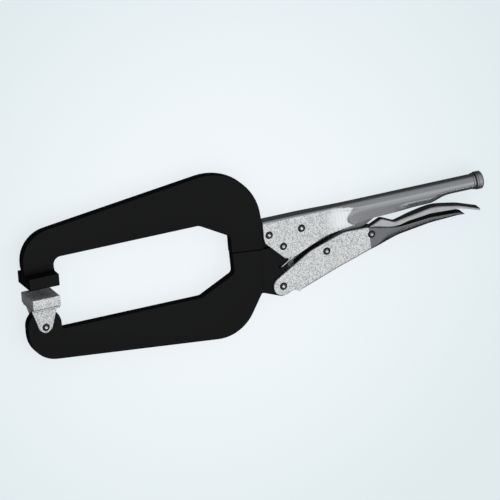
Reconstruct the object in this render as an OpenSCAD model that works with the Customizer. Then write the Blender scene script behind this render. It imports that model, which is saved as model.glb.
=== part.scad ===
// Deep-throat locking clamp pliers, lying on one side.
// Origin: middle of the fixed pad's clamping face. +X runs along the tool to the adjusting knob,
// +Y points up out of the fixed clamping face's back, +Z points away from the bench.

/* [Jaw frame] */
// Distance from the pads' middle to the back of the opening
throat_depth = 164; // [120:1:200]
// Height of the opening above the fixed clamping face
opening_above = 20.6; // [17:0.1:30]
// Depth of the opening below the fixed clamping face
opening_below = 40.4; // [33:0.1:52]
// Thickness of both jaw plates
jaw_t = 8; // [6:0.1:10]
// Depth of the upper arm over the pad, measured at its front corner
upper_front_w = 21.8; // [18:0.1:28]
// Depth of the upper arm over the back of the opening
upper_rear_w = 46.3; // [36:0.1:56]
// Depth of the lower arm under the pad, measured at its front corner
lower_front_w = 22.4; // [18:0.1:28]
// Depth of the lower arm under the back of the opening
lower_rear_w = 40.2; // [32:0.1:48]
// Overhang of both arms in front of the pads' middle
nose_x = 13.8; // [12:0.1:17]
// Gap along the seam between the two jaw plates
seam_gap = 0.6; // [0.4:0.1:1.2]

/* [Pads] */
// Length of the fixed pad along the tool
pad_len = 25.6; // [20:0.1:32]
// Width of both pads across the tool
pad_wide = 25.6; // [20:0.1:32]
// Thickness of the fixed pad
pad_h = 10; // [8:0.1:12]
// Depth of the jaw's tenon in the fixed pad
tenon_h = 3; // [2:0.1:4]
// Gap between the clamping faces as the tool lies
pad_gap = 8.5; // [5:0.1:10]
// Length of the swivel pad along the tool
swivel_len = 23.6; // [18:0.1:28]
// Thickness of the swivel pad
swivel_h = 8.7; // [7:0.1:10]
// Thickness of the swivel bracket's base plate
base_t = 1.8; // [1.2:0.1:2.6]
// Thickness of each bracket cheek
cheek_t = 2; // [1.5:0.1:2.6]
// Side clearance of each bracket cheek to the jaw
cheek_gap = 0.3; // [0.2:0.05:0.5]
// Radius of the lower jaw's end about the swivel pin
stub_r = 14.2; // [12:0.1:14.5]

/* [Pins] */
// Radius of every rivet shank
rivet_r = 2.5; // [2:0.1:3]
// Radius of every rivet head
head_r = 3.2; // [2.8:0.1:3.8]
// Height of every rivet head
head_h = 0.7; // [0.4:0.1:1.2]
// Radial clearance of a rivet in its holes
pin_gap = 0.05; // [0.02:0.01:0.1]
// Radius of the lower jaw's ear about the jaw pivot
ear_r = 5.6; // [4.5:0.1:6]
// Radius of the lower jaw's heel about the lever pivot
heel_r = 9; // [8:0.1:9.5]

/* [Handles] */
// Thickness of the handle sheet
sheet_t = 2; // [1.5:0.1:2.6]
// Clear width inside the handle channels
channel_w = 7.2; // [6.4:0.1:8.6]
// Side clearance of each moving plate in a channel
side_gap = 0.2; // [0.15:0.05:0.35]
// Length of the upper handle from the jaw to the knob
handle_len = 186; // [165:1:220]
// Outer radius of the upper handle's tube
tube_r = 6.2; // [5.8:0.1:7]
// Length of the closed, threaded end of the tube
collar_len = 22; // [14:1:24]
// Height of the rolled rim at the tube's rear end
rim_h = 0.6; // [0.3:0.1:1]
// Height of the screw's axis over the fixed clamping face
screw_y = 6.4; // [5.6:0.1:7]
// Length of the lower lever's tail past the jaw's back
lever_len = 176; // [160:1:190]

/* [Linkage] */
// Distance from the jaw pivot to the lever pivot
heel_len = 33.7; // [32:0.1:36]
// Distance from the lever pivot to the link pivot
crank_len = 45; // [43:0.1:47]
// Distance from the link pivot to the link's far end
link_len = 67.4; // [60:0.1:72]
// Thickness of the toggle link
link_t = 3.6; // [3:0.1:4]
// Radius of the link's round rear end
link_end_r = 2.8; // [2.2:0.1:2.9]
// Clearance left at the open pivot, between the link and the screw nose
nose_gap = 3.2; // [3:0.1:4]

/* [Adjusting screw] */
// Outer radius of the screw's thread
screw_r = 4; // [3.5:0.1:4.2]
// Radial clearance of the screw in the collar
screw_gap = 0.06; // [0.02:0.01:0.1]
// Radius of the screw's plain nose
nose_r = 3; // [2.5:0.1:3.3]
// Length of the screw's plain nose
nose_len = 7; // [5:0.1:10]
// Radius of the knob
knob_r = 7.4; // [6.8:0.1:9]
// Length of the knob
knob_len = 6.2; // [5:0.1:12]

/* [Return spring] */
// Outer radius of the spring's coil
coil_r = 2.6; // [2:0.1:2.8]
// Radius of the spring's wire
wire_r = 0.6; // [0.4:0.05:0.8]

/* [Hidden] */
$fn = 64;

step_deg = 6;
eps = 0.01;
far = 400;

jaw_back = throat_depth + 28;
outer_w = channel_w + 2 * sheet_t;
moving_t = channel_w - 2 * side_gap;
handle_top = screw_y + tube_r;
handle_end = jaw_back + handle_len;

// Pivots
jaw_pivot = [jaw_back + 16, -11.5];
front_hole = [jaw_back + 4.6, 0.6];
rear_hole = [jaw_back + 32.7, 0.5];
lever_pivot = jaw_pivot + heel_len * [-sin(4.6), -cos(4.6)];
link_pivot = lever_pivot + crank_len * [cos(28.7), sin(28.7)];
link_end = [link_pivot.x + sqrt(pow(link_len, 2) - pow(screw_y - link_pivot.y, 2)), screw_y];
release_pivot = [lever_pivot.x + 79.1, lever_pivot.y + 27.6];
swivel_pin = [0.4, 5.1 - opening_below];
spring_hole = jaw_pivot + [-2.7, -17.8];
spring_tab = [jaw_back + 68, 5.5];

// Outer lines of the two arms
front_top = [-nose_x, opening_above + upper_front_w];
rear_top = [jaw_back - 3.4, opening_above + upper_rear_w];
front_low = [-nose_x, -opening_below - lower_front_w];
rear_low = [throat_depth + 3.3, -opening_below - lower_rear_w];

// Seam between the jaws, and the place where the lower jaw thins to its tang
seam_y = -8.1;
seam_end_y = -10.5;
tang_x = jaw_back - 2.7;

swivel_top = -pad_gap;
swivel_base = swivel_top - swivel_h;
cheek_in = jaw_t / 2 + cheek_gap;
bracket_w = 2 * (cheek_in + cheek_t);

nose_x0 = link_end.x + link_end_r + nose_gap;
screw_x0 = nose_x0 + nose_len;
knob_x0 = handle_end + 0.5;

function flat(p) = [p.x, p.y];
function unit(v) = v / norm(v);
function turn(a) = (a + 900) % 360 - 180;
function arc_points(c, r, a, sweep) =
    let (n = max(2, ceil(abs(sweep) / step_deg)))
    [for (i = [0:n]) c + r * [cos(a + sweep * i / n), sin(a + sweep * i / n)]];
// One corner [x, y, radius] of an outline between its neighbours p and s
function corner(p, q, s) =
    let (
        u = unit(flat(p) - flat(q)),
        w = unit(flat(s) - flat(q)),
        half = acos(u * w) / 2,
        c = flat(q) + unit(u + w) * q[2] / sin(half),
        from = flat(q) + u * q[2] / tan(half) - c,
        to = flat(q) + w * q[2] / tan(half) - c,
        a = atan2(from.y, from.x)
    )
    arc_points(c, q[2], a, turn(atan2(to.y, to.x) - a));
// Outline through corners [x, y, radius], where radius 0 leaves the corner sharp
function rounded(k) =
    [for (i = [0:len(k) - 1]) each
        k[i][2] == 0 ? [flat(k[i])]
        : corner(k[(i + len(k) - 1) % len(k)], k[i], k[(i + 1) % len(k)])];
// Place where a line from p touches a circle, on its left (side 1) or right (side -1)
function tangent(p, c, r, side) =
    let (d = norm(c - p), a = atan2(c.y - p.y, c.x - p.x) + side * asin(r / d))
    p + sqrt(d * d - r * r) * [cos(a), sin(a)];

module plate(t) {
    linear_extrude(height = t, center = true) children();
}
module at(p) {
    translate([p.x, p.y, 0]) children();
}
module hole(p, r) {
    at(p) cylinder(r = r, h = far, center = true);
}
module along_x(x0, x1) {
    translate([x0, 0, 0]) rotate([90, 0, 90]) linear_extrude(height = x1 - x0) children();
}
module bar_x(x0, x1, r) {
    translate([x0, screw_y, 0]) rotate([0, 90, 0]) cylinder(r = r, h = x1 - x0);
}
// Closed tube through points [x, y, z, radius] that all lie in one plane with the normal side
module planar_tube(k, side, sides) {
    last = len(k) - 1;
    function place(i) = [k[i].x, k[i].y, k[i].z];
    function along(i) = unit(place(min(i + 1, last)) - place(max(i - 1, 0)));
    rings = [for (i = [0:last], j = [0:sides - 1])
        let (a = 360 * j / sides)
        place(i) + k[i][3] * (cos(a) * side + sin(a) * cross(along(i), side))];
    walls = [for (i = [0:last - 1], j = [0:sides - 1])
        let (n = (j + 1) % sides)
        [i * sides + j, i * sides + n, (i + 1) * sides + n, (i + 1) * sides + j]];
    ends = [[for (j = [sides - 1:-1:0]) j], [for (j = [0:sides - 1]) last * sides + j]];
    polyhedron(points = rings, faces = concat(walls, ends));
}
// Rivet with a low domed head on each side and a dimple in each head
module rivet(p, width) {
    at(p) difference() {
        union() {
            cylinder(r = rivet_r, h = width, center = true);
            for (side = [-1, 1]) translate([0, 0, side * (width + head_h) / 2])
                cylinder(r = head_r, h = head_h, center = true);
        }
        for (side = [-1, 1]) translate([0, 0, side * (width / 2 + head_h)])
            cylinder(r = rivet_r / 2, h = head_h, center = true);
    }
}

// Fixed jaw -----------------------------------------------------------------------------------
fixed_outline = rounded([
    [1 - nose_x, pad_h, 0],
    [-nose_x, pad_h + 7, 4],
    [front_top.x, front_top.y, 25],
    [rear_top.x, rear_top.y, 46],
    [jaw_back - 0.4, handle_top, 0],
    [jaw_back - 0.4, seam_end_y, 0],
    [jaw_back - 6.2, seam_end_y, 3],
    [throat_depth, seam_y, 0],
    [throat_depth, 6, 4],
    [throat_depth - 26, opening_above, 8],
    [12.4, opening_above, 6],
    [12.4, pad_h + 3, 0],
    [pad_len / 2, pad_h, 0]]);

module fixed_tang() {
    difference() {
        polygon(rounded([
            [jaw_back - 4, screw_y + tube_r - sheet_t, 0],
            [jaw_back + 40, screw_y + tube_r - sheet_t, 2],
            [jaw_back + 40, jaw_pivot.y + 6.3, 3],
            [jaw_pivot.x, jaw_pivot.y + 6.3, 0],
            [jaw_pivot.x - 4, jaw_pivot.y + 2, 0],
            [jaw_back - 4, jaw_pivot.y + 2, 0]]));
        translate(jaw_pivot) circle(r = ear_r + seam_gap);
    }
}

module fixed_jaw() {
    color([0.10, 0.10, 0.105]) difference() {
        union() {
            plate(jaw_t) polygon(fixed_outline);
            plate(channel_w) fixed_tang();
            translate([0, pad_h, 0]) cube([pad_len - 8, 2 * tenon_h, jaw_t], center = true);
        }
        hole(front_hole, rivet_r + pin_gap);
        hole(rear_hole, rivet_r + pin_gap);
    }
}

module fixed_pad() {
    color([0.10, 0.10, 0.105]) difference() {
        translate([0, pad_h / 2, 0]) cube([pad_len, pad_h, pad_wide], center = true);
        translate([0, pad_h, 0]) cube([pad_len - 8, 2 * tenon_h, jaw_t], center = true);
    }
}

// Lower jaw, its pad and its bracket ----------------------------------------------------------
module swing_outline() {
    polygon(rounded([
        [-nose_x, swivel_pin.y, 0],
        [front_low.x, front_low.y, 25],
        [rear_low.x, rear_low.y, 33],
        [jaw_back - 4.6, -47.6, 1.5],
        [lever_pivot.x - 2.1, lever_pivot.y - heel_r + 0.5, 0],
        [lever_pivot.x + heel_r, lever_pivot.y, 0],
        [jaw_pivot.x + ear_r, jaw_pivot.y, 0],
        [jaw_pivot.x - 3, seam_end_y - seam_gap, 0],
        [jaw_back - 6.2, seam_end_y - seam_gap, 3],
        [throat_depth + 0.4, seam_y - seam_gap, 0],
        [throat_depth + 0.9, -26.2, 4],
        [throat_depth - 28, -opening_below, 6],
        [swivel_pin.x + stub_r + 0.6, -opening_below, 2],
        [swivel_pin.x + stub_r, swivel_pin.y, 0]]));
    translate(swivel_pin) circle(r = stub_r);
    translate(lever_pivot) circle(r = heel_r);
    translate(jaw_pivot) circle(r = ear_r);
}

module swing_jaw() {
    color([0.10, 0.10, 0.105]) difference() {
        union() {
            plate(jaw_t) intersection() {
                swing_outline();
                translate([tang_x - far, -far / 2]) square([far, far]);
            }
            plate(moving_t) intersection() {
                swing_outline();
                translate([tang_x - 2, -far / 2]) square([far, far]);
            }
        }
        hole(jaw_pivot + [16.5, -14], 13);
        hole(spring_hole, 1.4);
        for (p = [jaw_pivot, lever_pivot, swivel_pin]) hole(p, rivet_r + pin_gap);
    }
}

module swivel_pad() {
    color([0.78, 0.79, 0.80]) translate([swivel_pin.x, swivel_top - swivel_h / 2, 0])
        cube([swivel_len, swivel_h, pad_wide], center = true);
}

module swivel_bracket() {
    top = swivel_base - base_t;
    left = [swivel_pin.x - swivel_len / 2 + 0.6, top];
    right = [swivel_pin.x + swivel_len / 2 - 0.6, top];
    color([0.80, 0.81, 0.82]) difference() {
        union() {
            translate([swivel_pin.x, swivel_base - base_t / 2, 0])
                cube([swivel_len - 1.2, base_t, pad_wide - 1.6], center = true);
            plate(bracket_w) {
                polygon([left, right, tangent(right, swivel_pin, 5, 1), tangent(left, swivel_pin, 5, -1)]);
                translate(swivel_pin) circle(r = 5);
            }
        }
        difference() {
            translate([0, top - far / 2, 0]) cube([far, far, 2 * cheek_in], center = true);
            translate([0, top + far / 2, 0]) cube([far, far, far], center = true);
        }
        hole(swivel_pin, rivet_r + pin_gap);
    }
}

// Upper handle: a sheet channel, formed into a tube at its rear -------------------------------
handle_outline = rounded([
    [jaw_back, handle_top, 0.8],
    [jaw_back, -4.5, 9],
    [jaw_back + 17, -22.3, 4],
    [jaw_back + 25.5, -22.3, 4],
    [jaw_back + 52.5, -10.6, 30],
    [jaw_back + 90, screw_y - 11.4, 60],
    [handle_end - collar_len - 17, screw_y - 9.9, 12],
    [handle_end - collar_len + 3, screw_y - tube_r, 10],
    [handle_end, screw_y - tube_r, 0],
    [handle_end, handle_top, 0]]);

// Half-width of the channel widens to the tube where the sheet is formed round
module handle_plan() {
    flare_x = jaw_back + 68;
    half = outer_w / 2;
    wide = max(tube_r, half);
    polygon([[jaw_back - 1, -half], [flare_x, -half], [flare_x + 14, -wide], [far * 2, -wide],
        [far * 2, wide], [flare_x + 14, wide], [flare_x, half], [jaw_back - 1, half]]);
}

module round_top_section(r, half) {
    translate([screw_y, 0]) circle(r = r);
    translate([screw_y - 60, -half]) square([60, 2 * half]);
}

module upper_handle() {
    flare_x = jaw_back + 68;
    cavity_end = handle_end - collar_len;
    color([0.80, 0.81, 0.82]) difference() {
        union() {
            intersection() {
                plate(far) polygon(handle_outline);
                along_x(jaw_back, flare_x) polygon(rounded([
                    [handle_top, outer_w / 2, 2.6], [-60, outer_w / 2, 0],
                    [-60, -outer_w / 2, 0], [handle_top, -outer_w / 2, 2.6]]));
            }
            intersection() {
                plate(far) polygon(handle_outline);
                translate([0, far / 2, 0]) rotate([90, 0, 0]) linear_extrude(height = far) handle_plan();
                along_x(flare_x - eps, handle_end) round_top_section(tube_r, max(tube_r, outer_w / 2));
            }
            bar_x(handle_end - 3 * rim_h, handle_end, max(tube_r, outer_w / 2) + rim_h);
        }
        difference() {
            along_x(jaw_back - 1, flare_x + 6) translate([handle_top - sheet_t - 60, -channel_w / 2])
                square([60, channel_w]);
            translate([spring_tab.x, spring_tab.y + 5, 0]) cube([5, 14, 2], center = true);
        }
        along_x(flare_x + 6 - eps, cavity_end)
            round_top_section(tube_r - sheet_t, max(tube_r - sheet_t, channel_w / 2));
        bar_x(cavity_end - 1, handle_end + 1, screw_r + screw_gap);
        for (p = [front_hole, rear_hole, jaw_pivot]) hole(p, rivet_r + pin_gap);
        hole(spring_tab, wire_r + 0.3);
    }
}

module front_jaw_rivet() {
    color([0.72, 0.73, 0.75]) rivet(front_hole, outer_w);
}
module rear_jaw_rivet() {
    color([0.72, 0.73, 0.75]) rivet(rear_hole, outer_w);
}
module jaw_pivot_rivet() {
    color([0.72, 0.73, 0.75]) rivet(jaw_pivot, outer_w);
}
module lever_pivot_rivet() {
    color([0.72, 0.73, 0.75]) rivet(lever_pivot, outer_w);
}
module link_rivet() {
    color([0.72, 0.73, 0.75]) rivet(link_pivot, outer_w);
}
module release_rivet() {
    color([0.72, 0.73, 0.75]) rivet(release_pivot, outer_w);
}
module swivel_rivet() {
    color([0.72, 0.73, 0.75]) rivet(swivel_pin, bracket_w);
}

// Lower lever: a sheet channel open towards the upper handle ----------------------------------
lever_tail = lever_pivot + [lever_len - 13.3, 27.3];
// Corners of the lever's folded lower edge, from its front to its tail, raised by lift
function lever_low(lift) = [
    [lever_pivot.x + 13.7, lever_pivot.y - 7.5 + lift, 0],
    [lever_pivot.x + 49.5, lever_pivot.y + 5.2 + lift, 60],
    [lever_pivot.x + 77.7, lever_pivot.y + 14.2 + lift, 60],
    [lever_pivot.x + 102.7, lever_pivot.y + 20.5 + lift, 60],
    [lever_pivot.x + 129.7, lever_pivot.y + 24.5 + lift, 60]];

module lever_outline() {
    nose_r = 8;
    sides = rounded(concat(
        [[lever_pivot.x - nose_r * sin(30.5), lever_pivot.y + nose_r * cos(30.5), 0],
        [lever_pivot.x + 25.7, lever_pivot.y + 24.5, 30],
        [lever_pivot.x + 55.7, lever_pivot.y + 34.2, 18],
        [lever_pivot.x + 77.7, lever_pivot.y + 33.5, 14],
        [lever_pivot.x + 99.7, lever_pivot.y + 28.2, 25],
        [lever_pivot.x + 131.7, lever_pivot.y + 30.6, 60],
        [lever_tail.x - 5, lever_pivot.y + 29.5, 6],
        [lever_tail.x, lever_tail.y, 0.6]],
        [for (i = [4:-1:0]) lever_low(0)[i]],
        [[lever_pivot.x + 11.2, lever_pivot.y - 5.7, 0]]));
    polygon(concat(arc_points(lever_pivot, nose_r, 300, 120.5 - 300), sides));
}

module lever_cavity() {
    low = lever_low(sheet_t);
    polygon(concat(
        [[lever_pivot.x - 30, 40], [lever_pivot.x - 30, -90], [low[0].x - 1.4, -90]],
        [[low[0].x - 1.4, low[0].y - 0.5]],
        [for (p = low) flat(p)],
        [[lever_tail.x - 2, lever_tail.y + sheet_t - 0.3], [lever_tail.x - 2, 40]]));
}

module lower_lever() {
    color([0.80, 0.81, 0.82]) difference() {
        plate(outer_w) lever_outline();
        plate(channel_w) lever_cavity();
        for (p = [lever_pivot, link_pivot, release_pivot]) hole(p, rivet_r + pin_gap);
    }
}

module toggle_link() {
    a = atan2(link_end.y - link_pivot.y, link_end.x - link_pivot.x);
    color([0.45, 0.46, 0.48]) difference() {
        at(link_pivot) rotate([0, 0, a]) {
            plate(link_t) polygon([[0, 5.4], [link_len, link_end_r], [link_len, -link_end_r], [0, -5.4]]);
            plate(link_t) translate([link_len, 0]) circle(r = link_end_r);
            plate(moving_t) circle(r = 5.5);
        }
        hole(link_pivot, rivet_r + pin_gap);
    }
}

// Release lever: a narrow channel inside the lower lever, with a wider finger blade -----------
module release_side() {
    polygon(rounded([
        [release_pivot.x - 11, release_pivot.y + 0.2, 1],
        [release_pivot.x - 4, release_pivot.y + 4, 3],
        [release_pivot.x + 3, release_pivot.y + 7, 6],
        [release_pivot.x + 10.8, release_pivot.y + 10.4, 1.5],
        [release_pivot.x + 22, release_pivot.y + 5.2, 4],
        [release_pivot.x + 36, release_pivot.y + 8.2, 0],
        [release_pivot.x + 36, release_pivot.y + 3.4, 0],
        [release_pivot.x + 22, release_pivot.y + 0.4, 4],
        [release_pivot.x + 4, release_pivot.y - 4.4, 4],
        [release_pivot.x - 4, release_pivot.y - 4.4, 4],
        [release_pivot.x - 11, release_pivot.y - 2.6, 1]]));
}
// Upper edge of the finger blade, lowered by drop
function blade_top(drop) = [
    [release_pivot.x + 34, release_pivot.y + 7.7 - drop, 0],
    [release_pivot.x + 56, release_pivot.y + 11.6 - drop, 40],
    [release_pivot.x + 78, release_pivot.y + 7.6 - drop, 40],
    [release_pivot.x + 95.6, release_pivot.y + 1.6 - drop, 0.5]];

module release_lever() {
    skin = 1.6;
    blade_w = 10;
    top = blade_top(0);
    low = blade_top(skin);
    color([0.35, 0.36, 0.38]) difference() {
        union() {
            plate(moving_t - 0.2) release_side();
            plate(blade_w) polygon(rounded(concat(top, [for (i = [3:-1:0]) low[i]])));
            plate(blade_w) polygon([flat(top[0]), [top[2].x, top[2].y - 0.4], [top[2].x, top[2].y - 1.4],
                [release_pivot.x + 52, release_pivot.y + 6.1], [top[0].x, release_pivot.y + 4.2]]);
        }
        plate(moving_t - 0.2 - 2 * skin) polygon([
            [release_pivot.x - 20, release_pivot.y - 20],
            [release_pivot.x - 20, release_pivot.y + 1.5],
            [release_pivot.x - 3, release_pivot.y + 1.5],
            [release_pivot.x + 10, release_pivot.y + 7.4],
            [release_pivot.x + 22, release_pivot.y + 3.2],
            [release_pivot.x + 37, release_pivot.y + 6],
            [release_pivot.x + 37, release_pivot.y - 20]]);
        plate(blade_w - 2 * skin) polygon([
            [top[0].x + skin, release_pivot.y],
            [top[0].x + skin, top[0].y - skin],
            [top[1].x, top[1].y - 1.5 * skin],
            [top[2].x, top[2].y - 1.3 * skin],
            [top[2].x, release_pivot.y]]);
        hole(release_pivot, rivet_r + pin_gap);
    }
}

// Adjusting screw -----------------------------------------------------------------------------
module screw_nose() {
    color([0.60, 0.61, 0.63]) bar_x(nose_x0, screw_x0, nose_r);
}
module adjusting_screw() {
    color([0.60, 0.61, 0.63]) bar_x(screw_x0, knob_x0, screw_r);
}
module adjusting_knob() {
    color([0.55, 0.56, 0.58]) union() {
        bar_x(knob_x0, knob_x0 + knob_len - 0.8, knob_r);
        bar_x(knob_x0, knob_x0 + knob_len, knob_r - 0.8);
    }
}

// Return spring: plain outer shape of the coil, with its two hooks ----------------------------
module return_spring() {
    way = unit(spring_tab - spring_hole);
    reach = norm(spring_tab - spring_hole);
    side_z = moving_t / 2 + 1.4 * wire_r;
    tab_z = 1.4 + wire_r;
    // Distance along the spring's line, height over the middle plane, and radius
    steps = [
        [0, -side_z, wire_r],
        [0, side_z - 0.9, wire_r],
        [0.9, side_z, wire_r],
        [8.6, side_z, wire_r],
        [15.5, 0.6, wire_r],
        [17, 0, wire_r],
        [17.2, 0, coil_r],
        [reach - 12.2, 0, coil_r],
        [reach - 12, 0, wire_r],
        [reach - 9, 0.4, wire_r],
        [reach - 3.2, tab_z, wire_r],
        [reach - 0.8, tab_z, wire_r],
        [reach, tab_z - 0.8, wire_r],
        [reach, -tab_z, wire_r]];
    color([0.62, 0.63, 0.65]) planar_tube(
        [for (s = steps) [spring_hole.x + s.x * way.x, spring_hole.y + s.x * way.y, s.y, s.z]],
        [-way.y, way.x, 0], 12);
}

fixed_jaw();
fixed_pad();
upper_handle();
front_jaw_rivet();
rear_jaw_rivet();
jaw_pivot_rivet();
swing_jaw();
swivel_pad();
swivel_bracket();
swivel_rivet();
lower_lever();
lever_pivot_rivet();
link_rivet();
release_rivet();
toggle_link();
release_lever();
screw_nose();
adjusting_screw();
adjusting_knob();
return_spring();
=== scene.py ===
import math
import bpy
import bmesh
from mathutils import Matrix, Vector


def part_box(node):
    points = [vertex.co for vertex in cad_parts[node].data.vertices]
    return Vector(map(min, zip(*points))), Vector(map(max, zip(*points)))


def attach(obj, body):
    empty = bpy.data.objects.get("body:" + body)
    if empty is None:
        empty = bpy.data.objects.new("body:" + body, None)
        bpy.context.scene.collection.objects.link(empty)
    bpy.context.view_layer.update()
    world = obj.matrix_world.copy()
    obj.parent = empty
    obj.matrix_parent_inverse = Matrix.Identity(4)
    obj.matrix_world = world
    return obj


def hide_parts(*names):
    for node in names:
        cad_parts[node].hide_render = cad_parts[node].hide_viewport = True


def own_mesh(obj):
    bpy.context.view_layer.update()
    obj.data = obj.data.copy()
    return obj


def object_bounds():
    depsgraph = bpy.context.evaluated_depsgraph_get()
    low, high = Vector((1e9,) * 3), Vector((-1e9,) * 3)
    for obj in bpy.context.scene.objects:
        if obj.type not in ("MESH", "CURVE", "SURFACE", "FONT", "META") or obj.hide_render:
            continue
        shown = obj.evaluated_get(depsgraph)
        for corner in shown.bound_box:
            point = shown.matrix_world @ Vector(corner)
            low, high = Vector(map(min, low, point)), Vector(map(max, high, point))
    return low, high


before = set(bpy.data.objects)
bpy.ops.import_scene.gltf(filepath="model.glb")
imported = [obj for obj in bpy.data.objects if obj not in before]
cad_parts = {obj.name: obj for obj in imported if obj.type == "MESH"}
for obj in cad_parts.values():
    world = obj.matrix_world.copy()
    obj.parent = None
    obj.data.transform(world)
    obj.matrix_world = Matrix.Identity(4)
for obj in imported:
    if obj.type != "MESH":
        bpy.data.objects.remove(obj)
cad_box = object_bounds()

scene = bpy.context.scene

# ---------------------------------------------------------------------------------------------
# Fixed jaw. One flame-cut and ground steel plate that carries the upper arm and the tang inside
# the upper handle. Its sheared rim is broken to a small radius, and it is blacked all over.
mm = 0.001


def limits(node):
    """Low and high corner of a CAD piece's box, in millimetres."""
    return [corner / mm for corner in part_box(node)]


def pin_centre(node):
    low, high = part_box(node)
    return (low + high) / 2 / mm


jaw_low, jaw_high = limits("fixed_jaw")
jaw_half = jaw_high.z
jaw_rim = 0.55
opening_above, opening_below = 20.6, 40.4
fixed_tang_half, swing_tang_half = 3.55, 3.4


def draw(bm, corners, z=0.0, closed=True):
    """Joined edges through corners [x, y, radius] in millimetres, each corner turned as an arc."""
    chain = []
    for i, (x, y, radius) in enumerate(corners):
        here = Vector((x, y, 0))
        end = not closed and i in (0, len(corners) - 1)
        if radius == 0 or end:
            chain.append([bm.verts.new((x, y, z))])
            continue
        back = (Vector((*corners[i - 1][:2], 0)) - here).normalized()
        on = (Vector((*corners[(i + 1) % len(corners)][:2], 0)) - here).normalized()
        half = back.angle(on) / 2
        centre = here + (back + on).normalized() * radius / math.sin(half)
        start = bm.verts.new((here + back * radius / math.tan(half)).xy.to_3d() + Vector((0, 0, z)))
        sweep = (math.pi - 2 * half) * (1 if back.cross(on).z < 0 else -1)
        steps = max(3, round(abs(sweep) / math.radians(6)))
        spun = bmesh.ops.spin(bm, geom=[start], cent=(centre.x, centre.y, z), axis=(0, 0, 1),
                              angle=sweep, steps=steps, use_merge=False)
        last = spun["geom_last"][0]
        arc, seen = [start], {start}
        while arc[-1] is not last:
            arc.append(next(e.other_vert(arc[-1]) for e in arc[-1].link_edges
                            if e.other_vert(arc[-1]) not in seen))
            seen.add(arc[-1])
        chain.append(arc)
    for i in range(len(chain) if closed else len(chain) - 1):
        a, b = chain[i][-1], chain[(i + 1) % len(chain)][0]
        if (a.co - b.co).length > 1e-4:
            bm.edges.new((a, b))
    return [v for arc in chain for v in arc]


def mirror_across(bm, weld):
    """Adds the other half across the middle plane, welded where the two meet."""
    bmesh.ops.mirror(bm, geom=bm.verts[:] + bm.edges[:] + bm.faces[:], axis="Z",
                     matrix=Matrix.Identity(4), merge_dist=weld)


def turn_smooth(bm):
    """Normals to the outside, and smooth shading all over."""
    bmesh.ops.recalc_face_normals(bm, faces=bm.faces)
    for face in bm.faces:
        face.smooth = True


def cut_plate(outline, half, rim, holes=()):
    """Flat plate between -half and half, with its rim turned to a small radius."""
    bm = bmesh.new()
    draw(bm, outline, half - rim)
    for x, y, radius in holes:
        bmesh.ops.create_circle(bm, segments=28, radius=radius,
                                matrix=Matrix.Translation((x, y, half - rim)))
    bmesh.ops.remove_doubles(bm, verts=bm.verts, dist=1e-4)
    if holes:
        bmesh.ops.triangle_fill(bm, use_beauty=True, edges=bm.edges[:], normal=(0, 0, 1))
    else:
        bmesh.ops.contextual_create(bm, geom=bm.edges[:])
    for face in bm.faces:
        if face.normal.z < 0:
            face.normal_flip()
    outer = [e for e in bm.edges if e.is_boundary]
    side = bmesh.ops.extrude_edge_only(bm, edges=outer)["geom"]
    for v in side:
        if isinstance(v, bmesh.types.BMVert):
            v.co.z = 0
    top = [f for f in bm.faces if abs(f.normal.z) > 0.9]
    steps = 3
    for i in range(steps):
        a, b = math.pi / 2 * i / steps, math.pi / 2 * (i + 1) / steps
        bmesh.ops.inset_region(bm, faces=top, thickness=rim * (math.cos(a) - math.cos(b)),
                               depth=rim * (math.sin(b) - math.sin(a)),
                               use_even_offset=True, use_boundary=True)
    mirror_across(bm, 1e-4)
    bmesh.ops.recalc_face_normals(bm, faces=bm.faces)
    for face in bm.faces:
        face.smooth = abs(face.normal.z) < 0.999
    return bm


def join(bm, other):
    """Adds another part's faces to the same piece."""
    spare = bpy.data.meshes.new("spare")
    other.to_mesh(spare)
    other.free()
    bm.from_mesh(spare)
    bpy.data.meshes.remove(spare)


def finish_piece(bm, name, body, materials, stands_for, crease=40):
    """Turns a modelled part in millimetres into a finished piece that rides on its body."""
    bmesh.ops.scale(bm, vec=(mm, mm, mm), verts=bm.verts)
    mesh = bpy.data.meshes.new(name)
    bm.to_mesh(mesh)
    bm.free()
    mesh.set_sharp_from_angle(angle=math.radians(crease))
    for material in materials:
        mesh.materials.append(material)
    piece = bpy.data.objects.new(name, mesh)
    scene.collection.objects.link(piece)
    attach(piece, body)
    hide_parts(*stands_for)


class Wire:
    """One output of a shader node. Arithmetic on it adds the Math nodes."""

    def __init__(self, finish, socket):
        self.finish = finish
        self.socket = socket

    def maths(self, operation, *others):
        return self.finish.node("ShaderNodeMath", {"operation": operation},
                                {"Value": self, **{f"Value_00{i + 1}": o for i, o in enumerate(others)}})

    def __add__(self, other):
        return self.maths("ADD", other)

    def __radd__(self, other):
        return self.maths("ADD", other)

    def __sub__(self, other):
        return self.maths("SUBTRACT", other)

    def __rsub__(self, other):
        return self.maths("MULTIPLY_ADD", -1.0, other)

    def __mul__(self, other):
        return self.maths("MULTIPLY", other)

    def __rmul__(self, other):
        return self.maths("MULTIPLY", other)


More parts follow.
